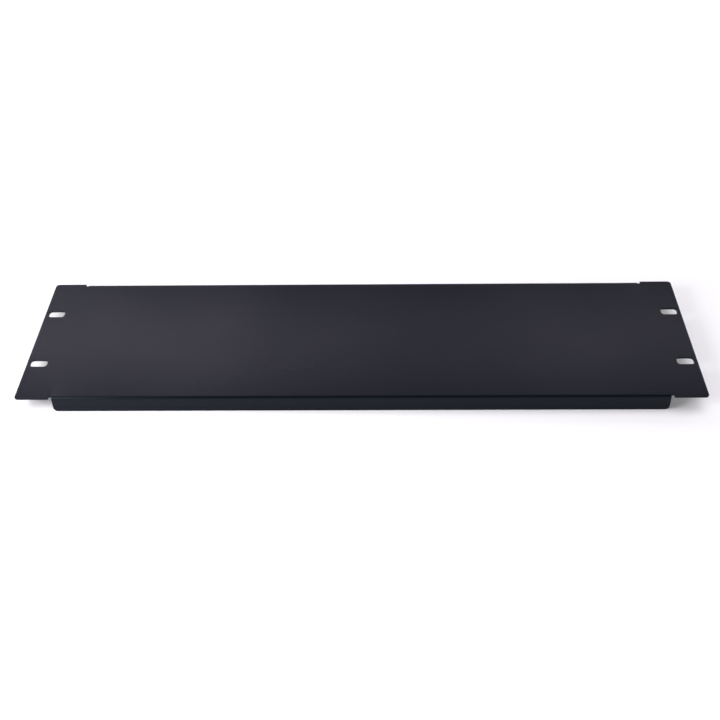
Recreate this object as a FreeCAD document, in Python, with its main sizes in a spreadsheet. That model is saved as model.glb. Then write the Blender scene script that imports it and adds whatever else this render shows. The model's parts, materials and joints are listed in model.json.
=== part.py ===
"""Blanking panel for a 19-inch rack, three units high: one piece of folded sheet steel.

All lengths are in millimetres. The panel lies face up on the edges of its two flanges. +X runs
along its width, +Y up its height as it hangs in a rack, and +Z points out of its front face. The
origin is the middle of the footprint, on the plane of the flange edges.

The features follow the order in which such a panel is made. The flat sheet is cut and its ears are
rounded. A bay is notched out of each long edge, wider than the flange that fills it, so that a
relief is left at each end of the fold. The flanges are folded, and the slots are punched.
"""
import FreeCAD, Part
import math
import os

import Sketcher

NODE = "blanking_panel"

# Driving dimensions: alias, value and meaning.
DRIVING_SIZES = (
    ("panel_width", 482.6, "over the ears, 19 in"),
    ("panel_height", 132.5, "three rack units of 44.45, less the fitting gap"),
    ("overall_depth", 12.5, "front face to the edges of the flanges"),
    ("sheet_thickness", 1.2, "steel sheet"),
    ("bend_inner_radius", 0.6, "inside of each fold"),
    ("ear_length", 25.8, "from the end of the panel to the end of a flange"),
    ("flange_inset", 0.5, "outer face of a flange, inside the long edge of the ears"),
    ("relief_width", 2.0, "gap between an ear and the end of a flange"),
    ("relief_corner_radius", 0.5, "inner corner of a relief"),
    ("flange_corner_radius", 3.0, "free corners of the flanges"),
    ("ear_corner_radius", 2.5, "corners of the ears"),
    ("slot_length", 12.0, "end to end"),
    ("slot_width", 7.0, "passes an M6 rack screw with play"),
    ("slot_end_inset", 8.75, "slot centre to the end of the panel, 465.1 between columns"),
    ("slot_row_inset", 37.675, "slot centre to the long edge, 57.15 between rows"),
)

# Places that several features share, as expressions on the sheet.
FRONT_FACE = "Sizes.overall_depth"
BACK_FACE = "(Sizes.overall_depth - Sizes.sheet_thickness)"
HALF_WIDTH = "(Sizes.panel_width / 2)"
HALF_HEIGHT = "(Sizes.panel_height / 2)"
FLANGE_LENGTH = "(Sizes.panel_width - 2 * Sizes.ear_length)"
BAY_LENGTH = f"({FLANGE_LENGTH} + 2 * Sizes.relief_width)"
BEND_OUTER_RADIUS = "(Sizes.bend_inner_radius + Sizes.sheet_thickness)"
FLANGE_FACE = f"({HALF_HEIGHT} - Sizes.flange_inset)"
BEND_LINE = f"({FLANGE_FACE} - {BEND_OUTER_RADIUS})"
SLOT_REACH = "((Sizes.slot_length - Sizes.slot_width) / 2)"
SLOT_COLUMN = f"({HALF_WIDTH} - Sizes.slot_end_inset)"
SLOT_ROW = f"({HALF_HEIGHT} - Sizes.slot_row_inset)"

# Names for the sketcher's own codes: its horizontal axis, and the points of a line or an arc.
X_AXIS = -1
START, END, CENTRE = 1, 2, 3
ORIGIN = (X_AXIS, START)

TOLERANCE = 1e-6


def make_sizes(doc):
    """Writes the driving dimensions to the sheet, one row each."""
    sheet = doc.addObject("Spreadsheet::Sheet", "Sizes")
    for row, (alias, size, meaning) in enumerate(DRIVING_SIZES, start=1):
        sheet.set(f"A{row}", alias)
        sheet.set(f"B{row}", str(size))
        sheet.setAlias(f"B{row}", alias)
        sheet.set(f"C{row}", meaning)
    doc.recompute()


def value(doc, expression):
    """Gives what an expression on the sheet comes to."""
    return float(doc.getObject("Sizes").evalExpression(expression))


def origin_plane(body, role):
    """Finds one of the body's own origin planes."""
    return next(item for item in body.Origin.OriginFeatures if item.Role == role)


def make_sketch(body, name, role, height=None):
    """Attaches a sketch to an origin plane, or at a height above it."""
    sketch = body.newObject("Sketcher::SketchObject", name)
    sketch.AttachmentSupport = [(origin_plane(body, role), "")]
    sketch.MapMode = "FlatFace"
    if height:
        sketch.setExpression("AttachmentOffset.Base.z", height)
    return sketch


def bind(sketch, name, expression, kind, *geometry):
    """Adds a named dimension that an expression on the sheet drives."""
    size = value(sketch.Document, expression)
    index = sketch.addConstraint(Sketcher.Constraint(kind, *geometry, size))
    sketch.renameConstraint(index, name)
    sketch.setExpression(f"Constraints.{name}", expression)


def add_rectangle(sketch, low, high):
    """Draws a rectangle between two corners and gives its bottom, right, top and left lines."""
    corners = [
        FreeCAD.Vector(low[0], low[1], 0),
        FreeCAD.Vector(high[0], low[1], 0),
        FreeCAD.Vector(high[0], high[1], 0),
        FreeCAD.Vector(low[0], high[1], 0),
    ]
    following = corners[1:] + corners[:1]
    lines = [sketch.addGeometry(Part.LineSegment(a, b)) for a, b in zip(corners, following)]
    bottom, right, top, left = lines
    for line, after in zip(lines, lines[1:] + lines[:1]):
        sketch.addConstraint(Sketcher.Constraint("Coincident", line, END, after, START))
    for line in (bottom, top):
        sketch.addConstraint(Sketcher.Constraint("Horizontal", line))
    for line in (right, left):
        sketch.addConstraint(Sketcher.Constraint("Vertical", line))
    return bottom, right, top, left


def straight_edges(shape, direction, keep):
    """Names the straight edges along a direction whose middle point passes a test."""
    names = []
    for number, edge in enumerate(shape.Edges, start=1):
        if not isinstance(edge.Curve, Part.Line):
            continue
        along = edge.Vertexes[1].Point - edge.Vertexes[0].Point
        if along.cross(direction).Length < TOLERANCE and keep(edge.CenterOfMass):
            names.append(f"Edge{number}")
    return names


def add_fillet(body, name, base, edges, radius):
    """Rounds the named edges of a feature."""
    fillet = body.newObject("PartDesign::Fillet", name)
    fillet.Base = (base, edges)
    fillet.setExpression("Radius", radius)
    body.Document.recompute()
    return fillet


def add_flat_sheet(body):
    """Pads the sheet from its back face to its front face and rounds the corners of the ears."""
    doc = body.Document
    sketch = make_sketch(body, "SheetOutline", "XY_Plane", BACK_FACE)
    half_width = value(doc, HALF_WIDTH)
    half_height = value(doc, HALF_HEIGHT)
    bottom, right, top, _ = add_rectangle(
        sketch, (-half_width, -half_height), (half_width, half_height)
    )
    sketch.addConstraint(Sketcher.Constraint("Symmetric", bottom, START, top, START, *ORIGIN))
    bind(sketch, "width", "Sizes.panel_width", "DistanceX", bottom, START, bottom, END)
    bind(sketch, "height", "Sizes.panel_height", "DistanceY", right, START, right, END)
    sheet = body.newObject("PartDesign::Pad", "Sheet")
    sheet.Profile = sketch
    sheet.setExpression("Length", "Sizes.sheet_thickness")
    doc.recompute()
    corners = straight_edges(sheet.Shape, FreeCAD.Vector(0, 0, 1), lambda middle: True)
    return add_fillet(body, "EarCorners", sheet, corners, "Sizes.ear_corner_radius")


def add_flange_bay(body):
    """Notches the bay of the rear flange out of the sheet, from its long edge to the bend line."""
    doc = body.Document
    sketch = make_sketch(body, "FlangeBayOutline", "XY_Plane", FRONT_FACE)
    half_bay = value(doc, BAY_LENGTH) / 2
    bottom, _, top, _ = add_rectangle(
        sketch, (-half_bay, value(doc, BEND_LINE)), (half_bay, value(doc, HALF_HEIGHT))
    )
    bind(sketch, "length", BAY_LENGTH, "DistanceX", bottom, START, bottom, END)
    bind(sketch, "half_length", f"{BAY_LENGTH} / 2", "DistanceX", *ORIGIN, bottom, END)
    bind(sketch, "bend_line", BEND_LINE, "DistanceY", *ORIGIN, bottom, START)
    bind(sketch, "long_edge", HALF_HEIGHT, "DistanceY", *ORIGIN, top, START)
    bay = body.newObject("PartDesign::Pocket", "FlangeBay")
    bay.Profile = sketch
    bay.setExpression("Length", "Sizes.sheet_thickness")
    doc.recompute()
    return bay


def draw_flange_section(body):
    """Draws the section of the rear flange in the YZ plane: a quarter bend and a straight leg."""
    doc = body.Document
    sketch = make_sketch(body, "FlangeSection", "YZ_Plane")
    face = value(doc, FLANGE_FACE)
    front = value(doc, FRONT_FACE)
    back = value(doc, BACK_FACE)
    root = value(doc, BEND_LINE)
    inside = face - value(doc, "Sizes.sheet_thickness")
    outer_radius = value(doc, BEND_OUTER_RADIUS)
    inner_radius = value(doc, "Sizes.bend_inner_radius")
    fold = front - outer_radius

    def line(y_start, z_start, y_end, z_end):
        ends = (FreeCAD.Vector(y_start, z_start, 0), FreeCAD.Vector(y_end, z_end, 0))
        return sketch.addGeometry(Part.LineSegment(*ends))

    def quarter(radius):
        circle = Part.Circle(FreeCAD.Vector(root, fold, 0), FreeCAD.Vector(0, 0, 1), radius)
        return sketch.addGeometry(Part.ArcOfCircle(circle, 0, math.pi / 2))

    outer_face = line(face, fold, face, 0)
    free_edge = line(face, 0, inside, 0)
    inner_face = line(inside, 0, inside, fold)
    sheet_end = line(root, back, root, front)
    outer_bend = quarter(outer_radius)
    inner_bend = quarter(inner_radius)
    joined = (
        (outer_bend, START, outer_face, START),
        (outer_face, END, free_edge, START),
        (free_edge, END, inner_face, START),
        (inner_face, END, inner_bend, START),
        (inner_bend, END, sheet_end, START),
        (sheet_end, END, outer_bend, END),
        (outer_bend, CENTRE, inner_bend, CENTRE),
    )
    for pair in joined:
        sketch.addConstraint(Sketcher.Constraint("Coincident", *pair))
    for upright in (outer_face, inner_face, sheet_end):
        sketch.addConstraint(Sketcher.Constraint("Vertical", upright))
    sketch.addConstraint(Sketcher.Constraint("Horizontal", free_edge))
    level_pairs = ((outer_bend, CENTRE, outer_bend, START), (inner_bend, CENTRE, inner_bend, START))
    for pair in level_pairs:
        sketch.addConstraint(Sketcher.Constraint("Horizontal", *pair))
    sketch.addConstraint(Sketcher.Constraint("Vertical", outer_bend, CENTRE, outer_bend, END))
    sketch.addConstraint(Sketcher.Constraint("PointOnObject", free_edge, START, X_AXIS))
    bind(sketch, "outer_radius", BEND_OUTER_RADIUS, "Radius", outer_bend)
    bind(sketch, "inner_radius", "Sizes.bend_inner_radius", "Radius", inner_bend)
    bind(sketch, "flange_face", FLANGE_FACE, "DistanceX", *ORIGIN, outer_face, END)
    bind(sketch, "front_face", FRONT_FACE, "DistanceY", *ORIGIN, sheet_end, END)
    return sketch


def add_flanges(body, bay):
    """Folds the rear flange, mirrors it and its bay to the front edge and rounds what is left."""
    doc = body.Document
    flange = body.newObject("PartDesign::Pad", "Flange")
    flange.Profile = draw_flange_section(body)
    flange.SideType = "Symmetric"
    flange.setExpression("Length", FLANGE_LENGTH)
    doc.recompute()
    pair = body.newObject("PartDesign::Mirrored", "FrontFlange")
    pair.Originals = [bay, flange]
    pair.MirrorPlane = (origin_plane(body, "XZ_Plane"), [""])
    body.Tip = pair
    doc.recompute()
    bay_end = value(doc, BAY_LENGTH) / 2
    relief_corners = straight_edges(
        pair.Shape,
        FreeCAD.Vector(0, 0, 1),
        lambda middle: abs(abs(middle.x) - bay_end) < TOLERANCE
        and abs(middle.y) < value(doc, FLANGE_FACE),
    )
    reliefs = add_fillet(
        body, "ReliefCorners", pair, relief_corners, "Sizes.relief_corner_radius"
    )
    free_corners = straight_edges(
        reliefs.Shape, FreeCAD.Vector(0, 1, 0), lambda middle: abs(middle.z) < TOLERANCE
    )
    return add_fillet(
        body, "FlangeCorners", reliefs, free_corners, "Sizes.flange_corner_radius"
    )


def draw_slot(body):
    """Draws the slot of the right ear's upper row: two straight sides between round ends."""
    doc = body.Document
    sketch = make_sketch(body, "SlotOutline", "XY_Plane", FRONT_FACE)
    column = value(doc, SLOT_COLUMN)
    row = value(doc, SLOT_ROW)
    reach = value(doc, SLOT_REACH)
    radius = value(doc, "Sizes.slot_width") / 2

    def side(x_start, x_end, y):
        ends = (FreeCAD.Vector(x_start, y, 0), FreeCAD.Vector(x_end, y, 0))
        return sketch.addGeometry(Part.LineSegment(*ends))

    def round_end(x, from_angle):
        circle = Part.Circle(FreeCAD.Vector(x, row, 0), FreeCAD.Vector(0, 0, 1), radius)
        return sketch.addGeometry(Part.ArcOfCircle(circle, from_angle, from_angle + math.pi))

    low = side(column - reach, column + reach, row - radius)
    high = side(column + reach, column - reach, row + radius)
    outer_end = round_end(column + reach, -math.pi / 2)
    inner_end = round_end(column - reach, math.pi / 2)
    tangents = (
        (low, END, outer_end, START),
        (outer_end, END, high, START),
        (high, END, inner_end, START),
        (inner_end, END, low, START),
    )
    for pair in tangents:
        sketch.addConstraint(Sketcher.Constraint("Tangent", *pair))
    sketch.addConstraint(Sketcher.Constraint("Horizontal", low))
    sketch.addConstraint(Sketcher.Constraint("Equal", outer_end, inner_end))
    bind(sketch, "end_radius", "Sizes.slot_width / 2", "Radius", outer_end)
    bind(sketch, "between_ends", f"2 * {SLOT_REACH}", "DistanceX", low, START, low, END)
    bind(
        sketch,
        "outer_end",
        f"{SLOT_COLUMN} + {SLOT_REACH}",
        "DistanceX",
        *ORIGIN,
        outer_end,
        CENTRE,
    )
    bind(sketch, "row", SLOT_ROW, "DistanceY", *ORIGIN, outer_end, CENTRE)
    return sketch


def add_slots(body):
    """Punches one slot through its ear and mirrors it to the other row and the other ear."""
    doc = body.Document
    slot = body.newObject("PartDesign::Pocket", "Slot")
    slot.Profile = draw_slot(body)
    slot.setExpression("Length", "Sizes.sheet_thickness")
    doc.recompute()
    slots = body.newObject("PartDesign::MultiTransform", "Slots")
    mirrors = []
    for name, role in (("OtherRow", "XZ_Plane"), ("OtherEar", "YZ_Plane")):
        mirror = body.newObject("PartDesign::Mirrored", name)
        mirror.MirrorPlane = (origin_plane(body, role), [""])
        mirrors.append(mirror)
    slots.Originals = [slot]
    slots.Transformations = mirrors
    body.Tip = slots
    doc.recompute()
    return slots


def expected_volume(doc):
    """Works out the panel's volume by hand, to hold the features against."""
    thickness = value(doc, "Sizes.sheet_thickness")
    ear_radius = value(doc, "Sizes.ear_corner_radius")
    relief_radius = value(doc, "Sizes.relief_corner_radius")
    flange_radius = value(doc, "Sizes.flange_corner_radius")
    slot_radius = value(doc, "Sizes.slot_width") / 2
    inner_radius = value(doc, "Sizes.bend_inner_radius")
    outer_radius = value(doc, BEND_OUTER_RADIUS)
    spandrel = 1 - math.pi / 4
    bay_depth = value(doc, HALF_HEIGHT) - value(doc, BEND_LINE)
    leg = value(doc, FRONT_FACE) - outer_radius
    slot_area = 4 * value(doc, SLOT_REACH) * slot_radius + math.pi * slot_radius**2
    sheet_area = value(doc, "Sizes.panel_width") * value(doc, "Sizes.panel_height")
    sheet_area -= 4 * spandrel * (ear_radius**2 - relief_radius**2)
    sheet_area -= 2 * value(doc, BAY_LENGTH) * bay_depth
    sheet_area -= 4 * slot_area
    bend_section = math.pi / 4 * (outer_radius**2 - inner_radius**2)
    flange_volume = value(doc, FLANGE_LENGTH) * (bend_section + leg * thickness)
    flange_volume -= 2 * spandrel * flange_radius**2 * thickness
    return sheet_area * thickness + 2 * flange_volume


def check(doc, body):
    """Stops the build if a feature failed, or cut or added anything but what it should."""
    failed = [item.Name for item in doc.Objects if {"Invalid", "Error"} & set(item.State)]
    if failed:
        raise RuntimeError(f"features that failed: {failed}")
    shape = body.Shape
    if shape.isNull() or not shape.isValid() or len(shape.Solids) != 1:
        raise RuntimeError(f"{body.Label} isn't one valid solid")
    expected = expected_volume(doc)
    if abs(shape.Volume - expected) > TOLERANCE * expected:
        raise RuntimeError(f"{body.Label} holds {shape.Volume} mm3, not {expected} mm3")


def main():
    """Builds the panel and writes it to parts/."""
    doc = FreeCAD.newDocument("BlankingPanel")
    make_sizes(doc)
    panel = doc.addObject("PartDesign::Body", NODE)
    panel.Label = NODE
    panel.Placement = FreeCAD.Placement()
    add_flat_sheet(panel)
    bay = add_flange_bay(panel)
    add_flanges(panel, bay)
    add_slots(panel)
    check(doc, panel)
    os.makedirs("parts", exist_ok=True)
    panel.Shape.exportStep(f"parts/{panel.Label}.step")


main()
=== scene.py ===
"""Dresses the rack blanking panel: its folded sheet, powder coat, floor, lights and camera.

Lengths are in metres and angles in degrees, unless a name says otherwise. The panel lies face up on
the edges of its flanges: +X runs along its width, +Y up its height and +Z out of its front face.
"""

import json
import logging
import math
from dataclasses import dataclass, field
from enum import IntEnum

import bpy
import numpy as np
from mathutils import Matrix, Vector


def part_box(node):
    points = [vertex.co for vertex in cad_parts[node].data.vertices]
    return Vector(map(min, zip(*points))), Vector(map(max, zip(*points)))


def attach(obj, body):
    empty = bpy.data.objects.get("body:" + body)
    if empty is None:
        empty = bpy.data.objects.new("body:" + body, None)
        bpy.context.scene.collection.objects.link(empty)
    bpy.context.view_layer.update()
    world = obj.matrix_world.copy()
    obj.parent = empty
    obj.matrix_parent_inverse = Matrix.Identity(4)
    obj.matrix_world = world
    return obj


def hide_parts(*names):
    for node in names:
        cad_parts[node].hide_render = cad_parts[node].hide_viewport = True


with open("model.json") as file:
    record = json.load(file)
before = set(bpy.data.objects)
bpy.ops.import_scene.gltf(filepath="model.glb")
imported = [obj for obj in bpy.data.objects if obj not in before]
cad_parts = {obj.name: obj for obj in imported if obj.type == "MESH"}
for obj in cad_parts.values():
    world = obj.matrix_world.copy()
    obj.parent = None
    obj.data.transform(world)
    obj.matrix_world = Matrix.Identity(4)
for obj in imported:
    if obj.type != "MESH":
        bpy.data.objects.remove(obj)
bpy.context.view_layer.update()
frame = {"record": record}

LOG = logging.getLogger("blanking_panel")
NODE = "blanking_panel"
MM = 0.001
WHITE = (1.0, 1.0, 1.0)

# Points are rounded to a multiple of this before they are welded.
SAME_PLACE = 0.001 * MM
# How far a point may stray from a line and still count as on it.
SLACK = 1e-6 * MM
# Shares and angles (in radians) are rounded to this many decimals before they are compared.
SAME_DECIMALS = 9
# A ray's share along an axis counts as at least this much, so that nothing is divided by zero.
LEAST_SHARE = 1e-9


class Surface(IntEnum):
    """The material slots of the sheet, in their order on the mesh."""

    FACES = 0
    CUT_EDGES = 1


def quarter_turn(count: int) -> np.ndarray:
    """Spreads angles evenly over a quarter turn.

    Args:
        count: How many steps the quarter turn is split into.

    Returns:
        The angles in radians, both ends included.
    """
    return np.linspace(0.0, math.pi / 2, count + 1)


def unit_rays(turn: np.ndarray) -> np.ndarray:
    """Points rays of length 1 along angles from +X, in radians: (cos(turn), sin(turn))."""
    return np.stack([np.cos(turn), np.sin(turn)], axis=-1)


def cell_corners(rows: int, columns: int) -> np.ndarray:
    """Lists the four corners of every cell of a grid, as row-major point numbers.

    Args:
        rows: Points along the first parameter.
        columns: Points along the second parameter.

    Returns:
        One row of four point numbers for each cell.
    """
    number = np.arange(rows * columns).reshape(rows, columns)
    corners = (number[:-1, :-1], number[:-1, 1:], number[1:, 1:], number[1:, :-1])
    return np.stack(corners, axis=-1).reshape(-1, 4)


def rounded_reach(
    ray: np.ndarray, low: np.ndarray, high: np.ndarray, radius: float
) -> np.ndarray:
    """Finds how far rays from the origin run inside a rectangle with one round corner.

    A ray leaves the rectangle at the nearest of its four sides, or at the arc of the corner at
    high, where |reach * ray - arc centre| is the corner's radius.

    Args:
        ray: Directions of length 1, one for each row.
        low: The corner with the lowest coordinates, both of them negative.
        high: The corner with the highest, which is the round one.
        radius: The round corner's radius.

    Returns:
        The length of each ray inside the rectangle.
    """
    side = np.where(ray > 0, high, -low)
    reach = (side / np.maximum(np.abs(ray), LEAST_SHARE)).min(axis=-1)
    centre = high - radius
    along = ray @ centre
    to_arc = along + np.sqrt(np.maximum(radius**2 - centre @ centre + along**2, 0.0))
    in_corner = np.all(ray * reach[:, None] > centre, axis=-1)
    return np.where(in_corner, to_arc, reach)


def combine(
    tree: bpy.types.NodeTree,
    operation: str,
    first: bpy.types.NodeSocket | float,
    second: bpy.types.NodeSocket | float,
) -> bpy.types.NodeSocket:
    """Adds a node that works out one value from two.

    Args:
        tree: The node tree that takes it.
        operation: What it does with them, by Blender's name.
        first: The first value, or the socket that gives it.
        second: The second one.

    Returns:
        The socket with the result.
    """
    node = tree.nodes.new("ShaderNodeMath")
    node.operation = operation
    for entry, value in zip(node.inputs, (first, second)):
        if isinstance(value, bpy.types.NodeSocket):
            tree.links.new(value, entry)
        else:
            entry.default_value = value
    return node.outputs[0]


def smooth_ramp(
    tree: bpy.types.NodeTree,
    value: bpy.types.NodeSocket,
    reach: tuple[float, float],
    levels: tuple[float, float],
) -> bpy.types.NodeSocket:
    """Adds a node that goes smoothly from one level to another.

    Args:
        tree: The node tree that takes it.
        value: The socket with the value that it follows.
        reach: The values where it begins and ends.
        levels: The levels there.

    Returns:
        The socket with the level.
    """
    node = tree.nodes.new("ShaderNodeMapRange")
    node.interpolation_type = "SMOOTHSTEP"
    node.inputs["From Min"].default_value, node.inputs["From Max"].default_value = reach
    node.inputs["To Min"].default_value, node.inputs["To Max"].default_value = levels
    tree.links.new(value, node.inputs["Value"])
    return node.outputs["Result"]


@dataclass
class Skin:
    """Collects grids of points and welds them into one mesh.

    Attributes:
        points: The grids' points, one array for each grid.
        cells: The grids' cells, numbered over all the points so far.
        count: How many points there are so far.
    """

    points: list[np.ndarray] = field(default_factory=list)
    cells: list[np.ndarray] = field(default_factory=list)
    count: int = 0

    def add_quarters(self, grid: np.ndarray) -> None:
        """Adds a grid of the quarter at +X and +Y, and its three mirror images.

        Args:
            grid: Points as rows, columns and coordinates. Seen from outside the sheet, rows
                follow one another to the left of the way that their points run.
        """
        rows, columns = grid.shape[:2]
        corners = cell_corners(rows, columns)
        for side_x in (1, -1):
            for side_y in (1, -1):
                turned = corners if side_x * side_y > 0 else corners[:, ::-1]
                self.points.append(grid.reshape(-1, 3) * (side_x, side_y, 1))
                self.cells.append(turned + self.count)
                self.count += rows * columns

    def weld(self, name: str) -> bpy.types.Mesh:
        """Joins points that round to the same multiple of SAME_PLACE and makes the mesh.

        Args:
            name: The mesh's name.

        Returns:
            The mesh, smooth all over.
        """
        points = np.concatenate(self.points)
        cells = np.concatenate(self.cells)
        rounded = np.round(points / SAME_PLACE).astype(np.int64)
        _, first, number = np.unique(rounded, axis=0, return_index=True, return_inverse=True)
        mesh = bpy.data.meshes.new(name)
        mesh.from_pydata(points[first].tolist(), [], number.reshape(-1)[cells].tolist())
        mesh.shade_smooth()
        mesh.validate()
        return mesh


@dataclass(frozen=True)
class SheetSizes:
    """The sizes of the folded sheet. What the frame states is read from it.

    Attributes:
        width: Over the ears.
        height: Over the long edges of the ears.
        depth: From the front face to the edges of the flanges.
        slot_spacing: Between the slots' columns and between their rows.
        slot_length: End to end.
        slot_width: Across.
        thickness: The sheet's own.
        bend_inner_radius: Inside each fold.
        ear_length: From the end of the panel to the end of a flange.
        flange_inset: From the long edge of the ears to the outer face of a flange.
        relief_width: Between an ear and the end of a flange.
        relief_corner_radius: At the ear's side of a relief.
        flange_corner_radius: At the free corners of the flanges.
        ear_corner_radius: At the corners of the ears.
        slot_corner_radius: At the corners of the slots.
    """

    width: float
    height: float
    depth: float
    slot_spacing: tuple[float, float]
    slot_length: float
    slot_width: float
    thickness: float = 1.2 * MM
    bend_inner_radius: float = 0.6 * MM
    ear_length: float = 25.8 * MM
    flange_inset: float = 0.5 * MM
    relief_width: float = 2.0 * MM
    relief_corner_radius: float = 0.5 * MM
    flange_corner_radius: float = 3.0 * MM
    ear_corner_radius: float = 2.5 * MM
    slot_corner_radius: float = 2.3 * MM

    @classmethod
    def from_frame(cls) -> "SheetSizes":
        """Reads the panel's box and its slot pattern from the frame.

        Returns:
            The sizes, with the defaults for what the frame doesn't state.
        """
        low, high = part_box(NODE)
        mounts = {mount["name"]: mount for mount in frame["record"]["mounts"]}
        slots = mounts["rack_slots"]["dims"]
        return cls(
            width=high.x - low.x,
            height=high.y - low.y,
            depth=high.z - low.z,
            slot_spacing=(slots["spacing_x_mm"] * MM, slots["spacing_y_mm"] * MM),
            slot_length=slots["slot_length_mm"] * MM,
            slot_width=2 * slots["hole_r_mm"] * MM,
        )

    @property
    def corner(self) -> np.ndarray:
        """The corner of the ear at +X and +Y, before it is rounded."""
        return np.array([self.width, self.height]) / 2

    @property
    def slot_centre(self) -> np.ndarray:
        """The middle of the slot at +X and +Y, in the plane of the face."""
        return np.array(self.slot_spacing) / 2

    @property
    def slot_half(self) -> np.ndarray:
        """Half the slot's length and half its width."""
        return np.array([self.slot_length, self.slot_width]) / 2

    @property
    def bend_outer_radius(self) -> float:
        """The radius of a fold on the coated outside."""
        return self.bend_inner_radius + self.thickness

    @property
    def bend_line(self) -> float:
        """Where a fold begins, from the middle of the face."""
        return self.height / 2 - self.flange_inset - self.bend_outer_radius

    @property
    def flange_end(self) -> float:
        """Where a flange ends, from the middle of the face."""
        return self.width / 2 - self.ear_length

    @property
    def ear_start(self) -> float:
        """Where an ear begins, from the middle of the face."""
        return self.flange_end + self.relief_width

    @property
    def relief_end(self) -> float:
        """Where a relief's inner corner meets the ear's side, from the middle of the face."""
        return self.bend_line + self.relief_corner_radius

    @property
    def bend_length(self) -> float:
        """The length of the quarter bend on its outside."""
        return self.bend_outer_radius * math.pi / 2

    @property
    def leg(self) -> float:
        """The straight part of a flange, from the bend to its free edge."""
        return self.depth - self.bend_outer_radius


@dataclass(frozen=True)
class FoldedSheet:
    """The panel's one piece: a flat face with ears, two folded flanges, reliefs and slots.

    Attributes:
        sizes: The sheet's sizes.
        columns: Steps along half the face.
        web_steps: Steps along the straight part of the strip behind a relief.
        bend_steps: Steps round a quarter bend.
        corner_steps: Steps round a corner of an ear, a flange, a relief or a slot.
        leg_steps: Steps down the straight part of a flange, above its corner.
        ear_rings: Shares of the way from a slot to the ear's outline.
        edge_radius: The small rounding that the coat gives to every cut edge.
        edge_segments: Faces across that rounding.
        edge_angle: The least angle between two faces where an edge counts as cut.
        face_weight: How much the large faces set the shading at their edges, up to 100.
    """

    sizes: SheetSizes
    columns: int = 40
    web_steps: int = 3
    bend_steps: int = 12
    corner_steps: int = 8
    leg_steps: int = 4
    ear_rings: tuple[float, ...] = (0.0, 0.12, 0.35, 0.65, 1.0)
    edge_radius: float = 0.22 * MM
    edge_segments: int = 4
    edge_angle: float = 50.0
    face_weight: int = 100

    def ear_outline(self, turn: np.ndarray) -> np.ndarray:
        """Finds where rays from the slot's middle leave the upper half of the ear.

        Args:
            turn: The rays' angles from +X, in radians.

        Returns:
            One point in the plane of the face for each ray.
        """
        size = self.sizes
        ray = unit_rays(turn)
        low = np.array([size.ear_start, 0.0]) - size.slot_centre
        high = size.corner - size.slot_centre
        reach = rounded_reach(ray, low, high, size.ear_corner_radius)
        return size.slot_centre + ray * reach[:, None]

    def slot_outline(self, turn: np.ndarray) -> np.ndarray:
        """Finds where rays from the slot's middle meet its edge.

        The slot's four quarters are alike, so each ray is worked out in the first.

        Args:
            turn: The rays' angles from +X, in radians.

        Returns:
            One point in the plane of the face for each ray.
        """
        size = self.sizes
        ray = unit_rays(turn)
        half = size.slot_half
        reach = rounded_reach(np.abs(ray), -half, half, size.slot_corner_radius)
        return size.slot_centre + ray * reach[:, None]

    def ear_turns(self) -> np.ndarray:
        """Lists the angles of the rays that the ear's grid follows.

        They are those of even steps round the slot's corners, and those that meet the ear's
        outline at its corners, at the ends and steps of its arc and at the inner end of a relief.

        Returns:
            The angles in radians, sorted, over one whole turn.
        """
        size = self.sizes
        round_corner = unit_rays(quarter_turn(self.corner_steps))
        slot = size.slot_half - size.slot_corner_radius * (1 - round_corner)
        slot = np.concatenate([slot * (x, y) for x in (1, -1) for y in (1, -1)])
        right, top = size.corner
        arc = size.corner - size.ear_corner_radius * (1 - round_corner)
        single = [
            (size.ear_start, 0.0),
            (size.ear_start, size.relief_end),
            (size.ear_start, top),
            (right, 0.0),
        ]
        outline = np.concatenate([arc, np.array(single)]) - size.slot_centre
        goal = np.concatenate([slot, outline])
        turn = np.unique(np.round(np.arctan2(goal[:, 1], goal[:, 0]), SAME_DECIMALS))
        return np.append(turn, turn[0] + 2 * math.pi)

    def ear_rows(self, outline: np.ndarray) -> np.ndarray:
        """Reads off how the ear's outline is divided beside the face, so that the two match.

        Args:
            outline: The ear's outline.

        Returns:
            Shares of the way from the middle of the panel to the inner end of the relief.
        """
        end = self.sizes.relief_end
        beside = np.abs(outline[:, 0] - self.sizes.ear_start) < SLACK
        low_enough = outline[:, 1] < end + SLACK
        return np.unique(np.round(outline[beside & low_enough, 1] / end, SAME_DECIMALS))

    def flat(self, plane: np.ndarray) -> np.ndarray:
        """Lifts points in the plane of the face to its height."""
        height = np.full(plane.shape[:-1] + (1,), self.sizes.depth)
        return np.concatenate([plane, height], axis=-1)

    def fold(self, plane: np.ndarray) -> np.ndarray:
        """Folds points of the flat blank down round the bend.

        With s the way past the bend line, a point is turned by s / radius up to a quarter turn,
        and goes straight down after that: y = bend line + radius * sin(turn) and
        z = depth - radius * (1 - cos(turn)) - the rest of s.

        Args:
            plane: Points of the blank, with y measured along the sheet's outside.

        Returns:
            The folded points.
        """
        size = self.sizes
        past = plane[..., 1] - size.bend_line
        turn = np.clip(past / size.bend_length, 0.0, 1.0) * math.pi / 2
        rest = np.maximum(past - size.bend_length, 0.0)
        radius = size.bend_outer_radius
        along_y = size.bend_line + radius * np.sin(turn)
        along_z = size.depth - radius * (1 - np.cos(turn)) - rest
        return np.stack([plane[..., 0], along_y, along_z], axis=-1)

    def face_grid(self, rows: np.ndarray) -> np.ndarray:
        """Makes the face between the flanges: x = u * flange end, y = v * bend line.

        Args:
            rows: Shares of the way up, as on the ear.

        Returns:
            The grid's points.
        """
        share_x = np.linspace(0.0, 1.0, self.columns + 1)
        across, up = np.meshgrid(share_x * self.sizes.flange_end, rows * self.sizes.bend_line)
        return self.flat(np.stack([across, up], axis=-1))

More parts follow.
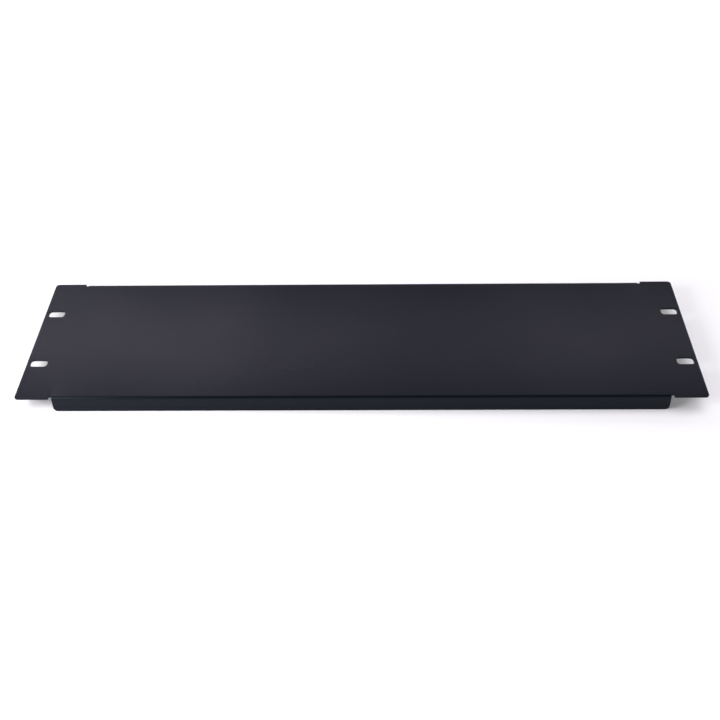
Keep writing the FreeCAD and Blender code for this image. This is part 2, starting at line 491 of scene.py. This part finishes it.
    def web_grid(self, rows: np.ndarray) -> np.ndarray:
        """Makes the strip that joins the face to an ear, behind the relief.

        Its top is straight and then rises round the relief's corner, whose centre lies in the
        relief: top = centre y - sqrt(radius ** 2 - (x - centre x) ** 2), and y = v * top.

        Args:
            rows: Shares of the way up, as on the ear.

        Returns:
            The grid's points.
        """
        size = self.sizes
        radius = size.relief_corner_radius
        centre = size.ear_start - radius
        straight = np.linspace(size.flange_end, centre, self.web_steps + 1)
        across = np.append(straight, centre + radius * np.sin(quarter_turn(self.corner_steps))[1:])
        into = np.clip((across - centre) / radius, 0.0, 1.0)
        top = size.bend_line + radius * (1 - np.sqrt(1 - into**2))
        up = rows[:, None] * top
        return self.flat(np.stack([np.broadcast_to(across, up.shape), up], axis=-1))

    def flange_grid(self) -> np.ndarray:
        """Makes a flange, from the bend line to its free edge.

        Rows run along the sheet: round the bend, down the leg and round the free corner, where
        the flange's half length is its end less radius * (1 - cos(turn)). Then x = u * half length.

        Returns:
            The grid's points.
        """
        size = self.sizes
        radius = size.flange_corner_radius
        arc = quarter_turn(self.corner_steps)
        corner_start = size.bend_length + size.leg - radius
        bend = np.linspace(0.0, size.bend_length, self.bend_steps + 1)
        leg = np.linspace(size.bend_length, corner_start, self.leg_steps + 1)[1:]
        past = np.concatenate([bend, leg, corner_start + radius * np.sin(arc[1:])])
        half = np.full(past.shape, size.flange_end)
        half[-self.corner_steps :] -= radius * (1 - np.cos(arc[1:]))
        across = half[:, None] * np.linspace(0.0, 1.0, self.columns + 1)
        along = np.broadcast_to((size.bend_line + past)[:, None], across.shape)
        return self.fold(np.stack([across, along], axis=-1))

    def ear_grid(self, turn: np.ndarray) -> np.ndarray:
        """Makes an ear as a ruled surface from its slot to its outline.

        A point is (1 - v) * slot outline + v * ear outline, both at the same turn.

        Args:
            turn: The rays' angles from +X, in radians.

        Returns:
            The grid's points.
        """
        share = np.array(self.ear_rings)[None, :, None]
        inner = self.slot_outline(turn)[:, None]
        outer = self.ear_outline(turn)[:, None]
        return self.flat((1 - share) * inner + share * outer)

    def outside(self) -> bpy.types.Mesh:
        """Makes the coated outside of the sheet, before it has its thickness.

        Returns:
            The mesh, an open surface whose faces look outwards.
        """
        turn = self.ear_turns()
        rows = self.ear_rows(self.ear_outline(turn))
        skin = Skin()
        for grid in (
            self.face_grid(rows),
            self.web_grid(rows),
            self.flange_grid(),
            self.ear_grid(turn),
        ):
            skin.add_quarters(grid)
        return skin.weld(NODE + "_sheet")

    def add_modifiers(self, piece: bpy.types.Object) -> None:
        """Gives the sheet its thickness, inwards, and rounds its cut edges.

        Args:
            piece: The piece, whose mesh is the outside of the sheet.
        """
        wall = piece.modifiers.new("Thickness", "SOLIDIFY")
        wall.thickness = self.sizes.thickness
        wall.offset = -1.0
        wall.use_even_offset = True
        wall.use_quality_normals = True
        wall.material_offset_rim = Surface.CUT_EDGES
        edge = piece.modifiers.new("RoundedEdges", "BEVEL")
        edge.width = self.edge_radius
        edge.segments = self.edge_segments
        edge.limit_method = "ANGLE"
        edge.angle_limit = math.radians(self.edge_angle)
        edge.use_clamp_overlap = False
        edge.material = Surface.CUT_EDGES
        shading = piece.modifiers.new("FlatFacesStayFlat", "WEIGHTED_NORMAL")
        shading.mode = "FACE_AREA"
        shading.weight = self.face_weight

    def finish_mesh(self, piece: bpy.types.Object) -> None:
        """Applies the piece's modifiers and brings what the rounding lifted back to the face.

        Where a relief meets a fold, the rounding follows the fold's slope a little way past the
        bend line, so z = min(z, depth).

        Args:
            piece: The piece, whose mesh is exchanged for the finished one.
        """
        bpy.context.view_layer.update()
        seen = piece.evaluated_get(bpy.context.evaluated_depsgraph_get())
        finished = bpy.data.meshes.new_from_object(seen)
        finished.name = NODE + "_finished"
        places = np.empty(3 * len(finished.vertices), dtype=np.float32)
        finished.vertices.foreach_get("co", places)
        places[2::3] = np.minimum(places[2::3], self.sizes.depth)
        finished.vertices.foreach_set("co", places)
        finished.update()
        piece.modifiers.clear()
        piece.data = finished

    def build(self, finishes: dict[Surface, bpy.types.Material]) -> bpy.types.Object:
        """Makes the piece, hangs it on the panel's body and hides the CAD part.

        Args:
            finishes: The material of each of the sheet's surfaces.

        Returns:
            The piece, which rides on the panel's body and stands for its solid.
        """
        mesh = self.outside()
        for surface in Surface:
            mesh.materials.append(finishes[surface])
        piece = bpy.data.objects.new(NODE + "_sheet", mesh)
        bpy.context.scene.collection.objects.link(piece)
        self.add_modifiers(piece)
        self.finish_mesh(piece)
        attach(piece, "root")
        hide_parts(NODE)
        return piece


class CoatTexture:
    """The relief and mottle of a sprayed and baked powder, as a node group for every finish.

    A detail is how many finer layers a noise has on top of its first.
    """

    NAME = "CoatTexture"
    PEEL_DETAIL = 1.0
    GRAIN_DETAIL = 2.0
    MOTTLE_WIDTH = 35 * MM
    MOTTLE_DETAIL = 3.0

    @staticmethod
    def group() -> bpy.types.NodeTree:
        """Finds the group, or builds it the first time.

        The relief is two layers of noise: the slow peel that the powder leaves as it flows, and
        the fine grain of its texture. The mottle is a slow noise for colour and roughness.

        Returns:
            The node group.
        """
        known = bpy.data.node_groups.get(CoatTexture.NAME)
        if known:
            return known
        tree = bpy.data.node_groups.new(CoatTexture.NAME, "ShaderNodeTree")
        sockets = tree.interface
        sockets.new_socket("Place", in_out="INPUT", socket_type="NodeSocketVector")
        for name in ("Peel Width", "Grain Width", "Grain Share"):
            sockets.new_socket(name, in_out="INPUT", socket_type="NodeSocketFloat")
        for name in ("Height", "Mottle"):
            sockets.new_socket(name, in_out="OUTPUT", socket_type="NodeSocketFloat")
        nodes, links = tree.nodes, tree.links
        given = nodes.new("NodeGroupInput")
        result = nodes.new("NodeGroupOutput")

        def noise(width: bpy.types.NodeSocket | float, detail: float) -> bpy.types.NodeSocket:
            """Adds a noise, whose scale is 1 / width.

            Args:
                width: The width of its features, or the socket that gives it.
                detail: How many finer layers it has.

            Returns:
                The socket with its level.
            """
            layer = nodes.new("ShaderNodeTexNoise")
            layer.inputs["Detail"].default_value = detail
            links.new(given.outputs["Place"], layer.inputs["Vector"])
            links.new(combine(tree, "DIVIDE", 1.0, width), layer.inputs["Scale"])
            return layer.outputs["Fac"]

        blend = nodes.new("ShaderNodeMix")
        blend.data_type = "FLOAT"
        links.new(given.outputs["Grain Share"], blend.inputs["Factor"])
        peel = noise(given.outputs["Peel Width"], CoatTexture.PEEL_DETAIL)
        grain = noise(given.outputs["Grain Width"], CoatTexture.GRAIN_DETAIL)
        mottle = noise(CoatTexture.MOTTLE_WIDTH, CoatTexture.MOTTLE_DETAIL)
        links.new(peel, blend.inputs["A"])
        links.new(grain, blend.inputs["B"])
        links.new(blend.outputs["Result"], result.inputs["Height"])
        links.new(mottle, result.inputs["Mottle"])
        return tree


@dataclass(frozen=True)
class PowderCoat:
    """A powder coat on sheet steel.

    Attributes:
        name: The material's name.
        dark: Linear colour where the mottle is low.
        light: Linear colour where the mottle is high.
        roughness: Lowest and highest roughness over the mottle.
        relief: The height of the texture.
        peel_width: The width of the slow relief.
        grain_width: The width of the fine relief.
        grain_share: How much of the relief is the fine one.
        gloss_level: The strength of the coat's mirror part, where 0.5 is plain plastic.
        gloss_tint: The colour of that part.
    """

    name: str
    dark: tuple[float, float, float]
    light: tuple[float, float, float]
    roughness: tuple[float, float]
    relief: float
    peel_width: float = 1.6 * MM
    grain_width: float = 0.45 * MM
    grain_share: float = 0.5
    gloss_level: float = 0.123
    gloss_tint: tuple[float, float, float] = (0.86, 1.0, 1.05)

    def material(self) -> bpy.types.Material:
        """Builds the material.

        Returns:
            The material, on Object coordinates.
        """
        made = bpy.data.materials.new(self.name)
        made.use_nodes = True
        nodes, links = made.node_tree.nodes, made.node_tree.links
        shader = nodes["Principled BSDF"]
        shader.inputs["Specular IOR Level"].default_value = self.gloss_level
        shader.inputs["Specular Tint"].default_value = (*self.gloss_tint, 1.0)
        place = nodes.new("ShaderNodeTexCoord")
        texture = nodes.new("ShaderNodeGroup")
        texture.node_tree = CoatTexture.group()
        texture.inputs["Peel Width"].default_value = self.peel_width
        texture.inputs["Grain Width"].default_value = self.grain_width
        texture.inputs["Grain Share"].default_value = self.grain_share
        links.new(place.outputs["Object"], texture.inputs["Place"])
        colour = nodes.new("ShaderNodeMix")
        colour.data_type = "RGBA"
        colour.inputs["A"].default_value = (*self.dark, 1.0)
        colour.inputs["B"].default_value = (*self.light, 1.0)
        links.new(texture.outputs["Mottle"], colour.inputs["Factor"])
        links.new(colour.outputs["Result"], shader.inputs["Base Color"])
        rough = nodes.new("ShaderNodeMapRange")
        rough.inputs["To Min"].default_value = self.roughness[0]
        rough.inputs["To Max"].default_value = self.roughness[1]
        links.new(texture.outputs["Mottle"], rough.inputs["Value"])
        links.new(rough.outputs["Result"], shader.inputs["Roughness"])
        bump = nodes.new("ShaderNodeBump")
        bump.inputs["Distance"].default_value = self.relief
        links.new(texture.outputs["Height"], bump.inputs["Height"])
        links.new(bump.outputs["Normal"], shader.inputs["Normal"])
        return made


@dataclass(frozen=True)
class SoftLamp:
    """A rectangular soft light that faces the panel.

    Attributes:
        name: The lamp's name.
        heading: Its direction from the panel, from +Y towards +X.
        elevation: Its angle above the floor.
        width: Of the lit rectangle, level with the floor.
        height: Of the lit rectangle.
        radiance: How bright it looks, where a white floor in full light is 1.
        distance: From the panel's middle.
        tint: The colour of its light.
        in_gloss: Whether the coat's gloss shows it, or only matt surfaces take its light.
    """

    name: str
    heading: float
    elevation: float
    width: float
    height: float
    radiance: float
    distance: float = 2.0
    tint: tuple[float, float, float] = WHITE
    in_gloss: bool = True

    def build(self) -> bpy.types.Object:
        """Places the lamp. Its power is radiance * pi * area.

        Returns:
            The lamp.
        """
        light = bpy.data.lights.new(self.name, "AREA")
        light.shape = "RECTANGLE"
        light.size = self.width
        light.size_y = self.height
        light.energy = self.radiance * math.pi * self.width * self.height
        light.color = self.tint
        lamp = bpy.data.objects.new(self.name, light)
        turn, rise = math.radians(self.heading), math.radians(self.elevation)
        level = math.cos(rise)
        away = Vector((math.sin(turn) * level, math.cos(turn) * level, math.sin(rise)))
        lamp.location = away * self.distance
        lamp.rotation_euler = away.to_track_quat("Z", "Y").to_euler()
        lamp.visible_glossy = self.in_gloss
        bpy.context.scene.collection.objects.link(lamp)
        return lamp


@dataclass(frozen=True)
class Viewpoint:
    """Where the camera stands and how it is held.

    Attributes:
        place: The camera's position.
        pitch: How far it looks down.
        heading: How far it looks round from +Y, towards +X.
        roll: How far it is turned clockwise about its own axis.
        lens_mm: The focal length, in millimetres.
        sensor_mm: The width of the sensor, in millimetres.
    """

    place: tuple[float, float, float] = (0.0155, -0.6064, 0.5146)
    pitch: float = 40.87
    heading: float = -1.544
    roll: float = 1.242
    lens_mm: float = 53.205
    sensor_mm: float = 36.0

    def build(self) -> bpy.types.Object:
        """Makes the camera the scene's own.

        Returns:
            The camera.
        """
        lens = bpy.data.cameras.new("Camera")
        lens.lens = self.lens_mm
        lens.sensor_width = self.sensor_mm
        camera = bpy.data.objects.new("Camera", lens)
        turned = Matrix.Rotation(math.radians(-self.heading), 3, "Z")
        tipped = Matrix.Rotation(math.radians(90 - self.pitch), 3, "X")
        rolled = Matrix.Rotation(math.radians(-self.roll), 3, "Z")
        camera.matrix_world = Matrix.Translation(self.place) @ (turned @ tipped @ rolled).to_4x4()
        bpy.context.scene.collection.objects.link(camera)
        bpy.context.scene.camera = camera
        return camera


@dataclass(frozen=True)
class Studio:
    """The white table, the surroundings, the window and the lamps.

    Attributes:
        floor_reach: Half the side of the floor.
        floor_steps: Steps of its grid along each side.
        floor_drop: How far the floor lies below the flange edges, so that nothing coincides.
        floor_colour: Linear colour of the floor.
        floor_lift: The floor's own light near the panel, as the camera and mirrors see it.
        far_lift: Its own light far from the panel, where the lamps' light has faded.
        near_floor: The distance from the panel's middle where it begins to rise.
        far_floor: The distance where it no longer rises.
        horizon: The surroundings' radiance near the horizon.
        overhead: Their radiance overhead.
        fade_from: The sine of the elevation where they begin to darken.
        fade_to: The sine of the elevation where they are as dark as overhead.
        wall: How far off the window's wall is.
        window_height: How high the middle of the window is above the floor.
        pane_width: Across one pane.
        pane_height: Of the window.
        pane_radiances: How bright each pane looks, from left to right.
        pane_tint: The colour of the light that comes through them.
        lamps: The other soft lights.
    """

    floor_reach: float = 30.0
    floor_steps: int = 8
    floor_drop: float = 0.1 * MM
    floor_colour: tuple[float, float, float] = (0.885, 0.865, 0.91)
    floor_lift: float = 0.13
    far_lift: float = 0.85
    near_floor: float = 0.35
    far_floor: float = 1.15
    horizon: float = 1.0
    overhead: float = 0.02
    fade_from: float = math.sin(math.radians(4))
    fade_to: float = math.sin(math.radians(48))
    wall: float = 2.24
    window_height: float = 1.905
    pane_width: float = 0.42
    pane_height: float = 0.12
    pane_radiances: tuple[float, ...] = (6.8, 9.0, 9.8, 6.3, 5.0, 6.1, 5.2, 1.2)
    pane_tint: tuple[float, float, float] = (1.17, 1.0, 1.18)
    lamps: tuple[SoftLamp, ...] = (
        SoftLamp(
            name="KeyLight",
            heading=-124.0,
            elevation=33.0,
            distance=0.62,
            width=0.3,
            height=0.3,
            radiance=11.0,
        ),
        SoftLamp(
            name="SideFill",
            heading=72.0,
            elevation=57.0,
            width=1.5,
            height=1.5,
            radiance=2.0,
            in_gloss=False,
        ),
        SoftLamp(
            name="TopFill",
            heading=20.0,
            elevation=80.0,
            width=1.5,
            height=1.5,
            radiance=1.6,
            in_gloss=False,
        ),
        SoftLamp(
            name="BackFillLeft",
            heading=-42.0,
            elevation=24.0,
            width=1.2,
            height=0.5,
            radiance=1.5,
        ),
        SoftLamp(
            name="BackFillRight",
            heading=42.0,
            elevation=24.0,
            width=1.2,
            height=0.5,
            radiance=1.6,
            in_gloss=False,
        ),
    )

    def window_panes(self) -> list[SoftLamp]:
        """Lays out the panes of a long straight window in the wall behind the panel.

        Returns:
            The panes, from left to right.
        """
        panes = []
        middle = (len(self.pane_radiances) - 1) / 2
        for index, radiance in enumerate(self.pane_radiances):
            side = (index - middle) * self.pane_width
            away = math.hypot(side, self.wall)
            pane = SoftLamp(
                name=f"WindowPane{index + 1}",
                heading=math.degrees(math.atan2(side, self.wall)),
                elevation=math.degrees(math.atan2(self.window_height, away)),
                width=self.pane_width,
                height=self.pane_height,
                radiance=radiance,
                distance=math.hypot(away, self.window_height),
                tint=self.pane_tint,
            )
            panes.append(pane)
        return panes

    def floor_material(self) -> bpy.types.Material:
        """Builds the white of the floor, which takes shadows and is clear seen from below.

        Its own light is for rays from the camera, from a gloss or through something clear, so
        that it adds nothing to the light on the panel's matt surfaces.

        Returns:
            The floor's material.
        """
        made = bpy.data.materials.new("WhiteTable")
        made.use_nodes = True
        tree = made.node_tree
        nodes, links = tree.nodes, tree.links
        nodes.clear()
        matt = nodes.new("ShaderNodeBsdfDiffuse")
        matt.inputs["Color"].default_value = (*self.floor_colour, 1.0)
        ray = nodes.new("ShaderNodeLightPath").outputs
        seen = combine(tree, "MAXIMUM", ray["Is Camera Ray"], ray["Is Glossy Ray"])
        seen = combine(tree, "MAXIMUM", seen, ray["Is Transmission Ray"])
        spot = nodes.new("ShaderNodeNewGeometry").outputs
        away = nodes.new("ShaderNodeVectorMath")
        away.operation = "LENGTH"
        links.new(spot["Position"], away.inputs[0])
        stretch = (self.near_floor, self.far_floor)
        lift = smooth_ramp(tree, away.outputs["Value"], stretch, (self.floor_lift, self.far_lift))
        glow = nodes.new("ShaderNodeEmission")
        links.new(combine(tree, "MULTIPLY", seen, lift), glow.inputs["Strength"])
        both = nodes.new("ShaderNodeAddShader")
        links.new(matt.outputs[0], both.inputs[0])
        links.new(glow.outputs[0], both.inputs[1])
        clear = nodes.new("ShaderNodeBsdfTransparent")
        choice = nodes.new("ShaderNodeMixShader")
        links.new(spot["Backfacing"], choice.inputs["Fac"])
        links.new(both.outputs[0], choice.inputs[1])
        links.new(clear.outputs[0], choice.inputs[2])
        result = nodes.new("ShaderNodeOutputMaterial")
        links.new(choice.outputs[0], result.inputs["Surface"])
        return made

    def build_floor(self) -> bpy.types.Object:
        """Makes the floor as a flat grid, which isn't part of the object.

        Returns:
            The floor.
        """
        lines = np.linspace(-self.floor_reach, self.floor_reach, self.floor_steps + 1)
        across, along = np.meshgrid(lines, lines)
        points = np.stack([across, along, np.full(across.shape, -self.floor_drop)], axis=-1)
        mesh = bpy.data.meshes.new("Floor")
        cells = cell_corners(*across.shape)
        mesh.from_pydata(points.reshape(-1, 3).tolist(), [], cells.tolist())
        mesh.materials.append(self.floor_material())
        floor = bpy.data.objects.new("Floor", mesh)
        bpy.context.scene.collection.objects.link(floor)
        return floor

    def build_surroundings(self) -> bpy.types.World:
        """Makes the world: white near the horizon and dim overhead, as under a dark ceiling.

        Returns:
            The world.
        """
        world = bpy.data.worlds.new("Surroundings")
        bpy.context.scene.world = world
        world.use_nodes = True
        tree = world.node_tree
        light = tree.nodes["Background"]
        light.inputs["Color"].default_value = (*WHITE, 1.0)
        direction = tree.nodes.new("ShaderNodeTexCoord")
        split = tree.nodes.new("ShaderNodeSeparateXYZ")
        tree.links.new(direction.outputs["Generated"], split.inputs[0])
        fade = (self.fade_from, self.fade_to)
        level = smooth_ramp(tree, split.outputs["Z"], fade, (self.horizon, self.overhead))
        tree.links.new(level, light.inputs["Strength"])
        return world

    def build(self) -> None:
        """Builds the floor, the surroundings and the lamps."""
        self.build_floor()
        self.build_surroundings()
        for lamp in (*self.window_panes(), *self.lamps):
            lamp.build()


FACE_COAT = PowderCoat(
    name="powder_coat_faces",
    dark=(0.0034, 0.0045, 0.0086),
    light=(0.0042, 0.0055, 0.0104),
    roughness=(0.19, 0.24),
    relief=0.004 * MM,
)
EDGE_COAT = PowderCoat(
    name="powder_coat_cut_edges",
    dark=(0.0036, 0.0048, 0.0090),
    light=(0.0048, 0.0062, 0.0114),
    roughness=(0.19, 0.24),
    relief=0.002 * MM,
    grain_share=0.3,
)


def main() -> None:
    """Builds the panel and its studio, and logs how many faces the panel has."""
    logging.basicConfig(level=logging.INFO)
    finishes = {Surface.FACES: FACE_COAT.material(), Surface.CUT_EDGES: EDGE_COAT.material()}
    piece = FoldedSheet(SheetSizes.from_frame()).build(finishes)
    LOG.info("%s: %d faces", piece.name, len(piece.data.polygons))
    Studio().build()
    Viewpoint().build()
    bpy.context.scene.view_settings.view_transform = "Standard"


if __name__ == "__main__":
    main()
